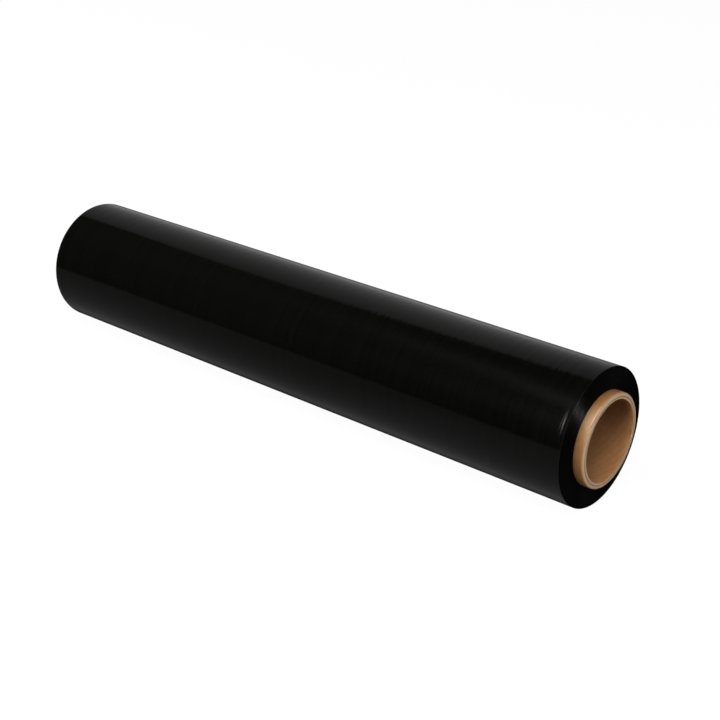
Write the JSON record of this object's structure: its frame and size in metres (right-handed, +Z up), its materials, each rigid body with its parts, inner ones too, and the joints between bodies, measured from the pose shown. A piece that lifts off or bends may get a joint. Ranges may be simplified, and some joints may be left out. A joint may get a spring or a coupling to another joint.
{
  "type": "stretch wrap roll",
  "caption": "Hand roll of black stretch film wound on a kraft paperboard core that stands out past each end, lying on its side.",
  "frame": {"origin": "on the floor, under the middle of the roll's length, at the centre of the flat spot it lies on", "axes": "+X along the roll's axis, +Z up from the floor"},
  "size_m": [0.4632, 0.0888, 0.0885],
  "materials": {
    "kraft_board": "smooth brown kraft outside and in the bore, paler where the board is cut",
    "black_film": "glossy black film with fine rings round the roll"
  },
  "bodies": {
    "root": {"core_tube": "kraft_board", "film_roll": "black_film"}
  },
  "joints": []
}
